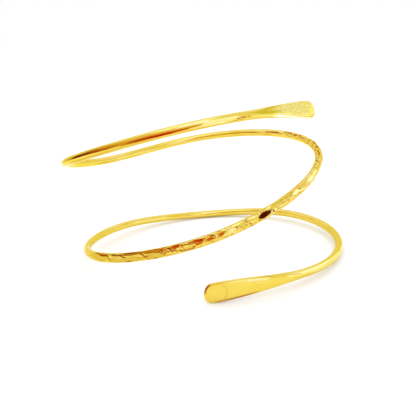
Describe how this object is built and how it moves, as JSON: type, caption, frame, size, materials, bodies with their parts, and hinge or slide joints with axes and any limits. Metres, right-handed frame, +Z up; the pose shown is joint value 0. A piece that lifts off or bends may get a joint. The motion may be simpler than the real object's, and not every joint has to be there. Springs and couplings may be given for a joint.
{
  "type": "spiral coil bracelet",
  "caption": "Open spiral arm cuff: one length of round wire coiled a little over two turns, hammered across the front, with flat paddle ends.",
  "frame": {"origin": "centre of the footprint, on the surface the coil stands on", "axes": "+Z up, -Y towards the hammered front strand, +X to the right of someone looking at that front"},
  "size_m": [0.0742, 0.0704, 0.043],
  "materials": {
    "gold_plate": "bright polished yellow gold plate over brass, hammered in flat facets across the front and planished on the paddle ends"
  },
  "bodies": {
    "root": {"coil_band": "gold_plate"}
  },
  "joints": []
}
